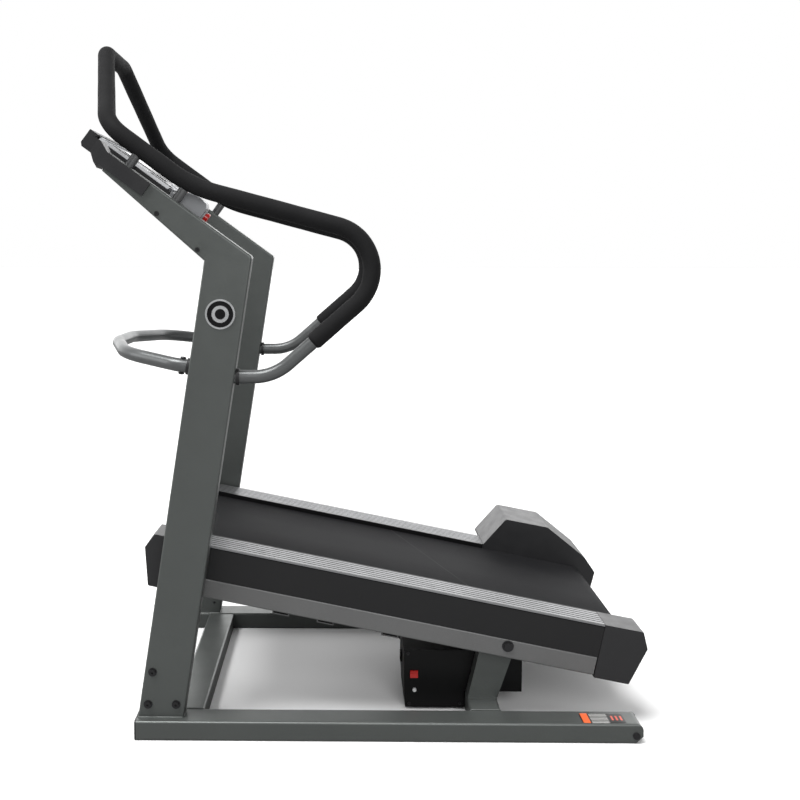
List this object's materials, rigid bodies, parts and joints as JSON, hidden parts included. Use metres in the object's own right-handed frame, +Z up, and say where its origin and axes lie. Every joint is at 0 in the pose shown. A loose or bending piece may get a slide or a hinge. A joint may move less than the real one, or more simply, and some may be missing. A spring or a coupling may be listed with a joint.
{
  "type": "motorised incline treadmill",
  "caption": "Incline treadmill: floor frame, leaning masts with console and foam handlebar, tilting running deck with belt, rear motor hood and lift.",
  "frame": {"origin": "on the floor, under the middle of the machine", "axes": "+X towards the rear end where the user steps on, -X towards the console, -Y the user's left, +Z up"},
  "size_m": [1.4489, 0.892, 1.7806],
  "materials": {
    "frame_paint": "fine dark grey metallic powder coat, satin",
    "tube_paint": "smooth dark grey metallic coat, semi-gloss",
    "deck_paint": "mid grey powder coat",
    "housing_plastic": "fine textured charcoal moulding",
    "cover_plastic": "fine textured near-black sheet",
    "light_plastic": "smooth light grey moulding",
    "black_plastic": "moulded black",
    "screen": "polished dark lens",
    "foam": "closed-cell foam sleeve, faint grain",
    "belt_rubber": "woven-backed belt with a fine diamond grain",
    "rail_aluminium": "brushed extrusion with grooves",
    "steel": "turned steel",
    "fastener": "blackened steel",
    "badge_metal": "satin disc",
    "board": "waxed fibreboard",
    "rubber_block": "moulded rubber",
    "wheel_rubber": "moulded wheel",
    "motor_paint": "black enamel",
    "red_plastic": "glossy red moulding",
    "white_plastic": "glossy white moulding"
  },
  "bodies": {
    "base": {"base_rail_left": "frame_paint", "base_rail_right": "frame_paint", "rail_end_plugs": "black_plastic", "base_cross_beams": "frame_paint", "wheel_axles": "steel", "mast_left": "frame_paint", "mast_right": "frame_paint", "mast_spigots": "frame_paint", "mast_bolts": "fastener", "mast_badges": "badge_metal", "handlebar_tube": "tube_paint", "foam_grips": "foam", "handle_standoffs": "tube_paint", "handle_sockets": "black_plastic", "front_loop_bar": "tube_paint", "loop_sockets": "black_plastic", "loop_bolts": "fastener", "console_shell": "housing_plastic", "e_stop_pod": "light_plastic", "console_fascia": "light_plastic", "display_lens": "screen", "console_grilles": "black_plastic", "console_side_covers": "housing_plastic", "e_stop_collar": "light_plastic", "pivot_posts": "frame_paint", "control_box_shell": "cover_plastic", "control_box_panel": "cover_plastic", "housing_screws": "fastener", "lift_clevis": "frame_paint"},
    "deck": {"deck_tube_left": "deck_paint", "deck_tube_right": "deck_paint", "pivot_bolts": "fastener", "deck_cross_tubes": "deck_paint", "lift_deck_bracket": "deck_paint", "deck_board": "board", "deck_cushions": "rubber_block", "running_belt": "belt_rubber", "axles_and_bearings": "steel", "drive_motor": "motor_paint", "drive_belt": "rubber_block", "deck_side_covers": "cover_plastic", "foot_rail_left": "rail_aluminium", "foot_rail_right": "rail_aluminium", "front_caps": "housing_plastic", "rear_cap": "housing_plastic", "motor_hood": "housing_plastic"},
    "front_roller": {"front_roller": "steel"},
    "rear_roller": {"rear_roller": "steel"},
    "motor_pulley": {"motor_pulley": "steel"},
    "lift_body": {"lift_motor": "motor_paint"},
    "lift_rod": {"lift_rod": "steel"},
    "wheel_left": {"transport_wheel_left": "wheel_rubber"},
    "wheel_right": {"transport_wheel_right": "wheel_rubber"},
    "power_switch": {"power_switch": "red_plastic"},
    "breaker": {"breaker_button": "white_plastic"},
    "e_stop": {"e_stop_button": "red_plastic"},
    "start_key": {"start_button": "white_plastic"},
    "stop_key": {"stop_button": "red_plastic"},
    "speed_key": {"speed_rocker": "white_plastic"},
    "incline_key": {"incline_rocker": "white_plastic"}
  },
  "joints": [
    {"name": "incline", "type": "hinge", "parent": "base", "child": "deck", "pos_m": [0.3648, 0, 0.2135], "axis": [0, 1, 0], "range_deg": [-11.34, 10.6]},
    {"name": "rear_roller_spin", "type": "hinge", "parent": "deck", "child": "rear_roller", "pos_m": [0.64093, 0, 0.20708], "axis": [0, 1, 0], "continuous": true},
    {"name": "front_roller_spin", "type": "hinge", "parent": "deck", "child": "front_roller", "pos_m": [-0.49446, 0, 0.43478], "axis": [0, 1, 0], "continuous": true},
    {"name": "motor_pulley_spin", "type": "hinge", "parent": "deck", "child": "motor_pulley", "pos_m": [0.54058, 0, 0.32715], "axis": [0, 1, 0], "continuous": true},
    {"name": "lift_tilt", "type": "hinge", "parent": "base", "child": "lift_body", "pos_m": [0.182, 0, 0.055], "axis": [0, 1, 0], "range_deg": [-14, 13]},
    {"name": "lift_extend", "type": "slide", "parent": "lift_body", "child": "lift_rod", "axis": [-0.7448, 0, 0.6673], "range_m": [-0.052, 0.05]},
    {"name": "wheel_left_spin", "type": "hinge", "parent": "base", "child": "wheel_left", "pos_m": [0.6745, -0.402, 0.021], "axis": [0, 1, 0], "continuous": true},
    {"name": "wheel_right_spin", "type": "hinge", "parent": "base", "child": "wheel_right", "pos_m": [0.6745, 0.402, 0.021], "axis": [0, 1, 0], "continuous": true},
    {"name": "power_switch_tip", "type": "hinge", "parent": "base", "child": "power_switch", "pos_m": [0.1295, -0.242, 0.098], "axis": [1, 0, 0], "range_deg": [-8, 8]},
    {"name": "breaker_push", "type": "slide", "parent": "base", "child": "breaker", "axis": [0, 1, 0], "range_m": [0, 0.003], "stiffness_N_per_m": 300},
    {"name": "e_stop_push", "type": "slide", "parent": "base", "child": "e_stop", "axis": [-0.809, 0, 0.5878], "range_m": [0, 0.0028], "stiffness_N_per_m": 500},
    {"name": "start_push", "type": "slide", "parent": "base", "child": "start_key", "axis": [-0.5878, 0, -0.809], "range_m": [0, 0.002], "stiffness_N_per_m": 400},
    {"name": "stop_push", "type": "slide", "parent": "base", "child": "stop_key", "axis": [-0.5878, 0, -0.809], "range_m": [0, 0.002], "stiffness_N_per_m": 400},
    {"name": "speed_tip", "type": "hinge", "parent": "base", "child": "speed_key", "pos_m": [-0.51776, -0.12, 1.39229], "axis": [0, 1, 0], "range_deg": [-6, 6], "stiffness_Nm_per_rad": 0.2},
    {"name": "incline_tip", "type": "hinge", "parent": "base", "child": "incline_key", "pos_m": [-0.51776, 0.12, 1.39229], "axis": [0, 1, 0], "range_deg": [-6, 6], "stiffness_Nm_per_rad": 0.2}
  ],
  "couplings": [
    {"joint": "front_roller_spin", "follows": "rear_roller_spin", "ratio": 1},
    {"joint": "motor_pulley_spin", "follows": "rear_roller_spin", "ratio": 2.1111},
    {"joint": "lift_tilt", "follows": "incline", "ratio": 1.1},
    {"joint": "lift_extend", "follows": "incline", "m_per_rad": 0.2395}
  ]
}
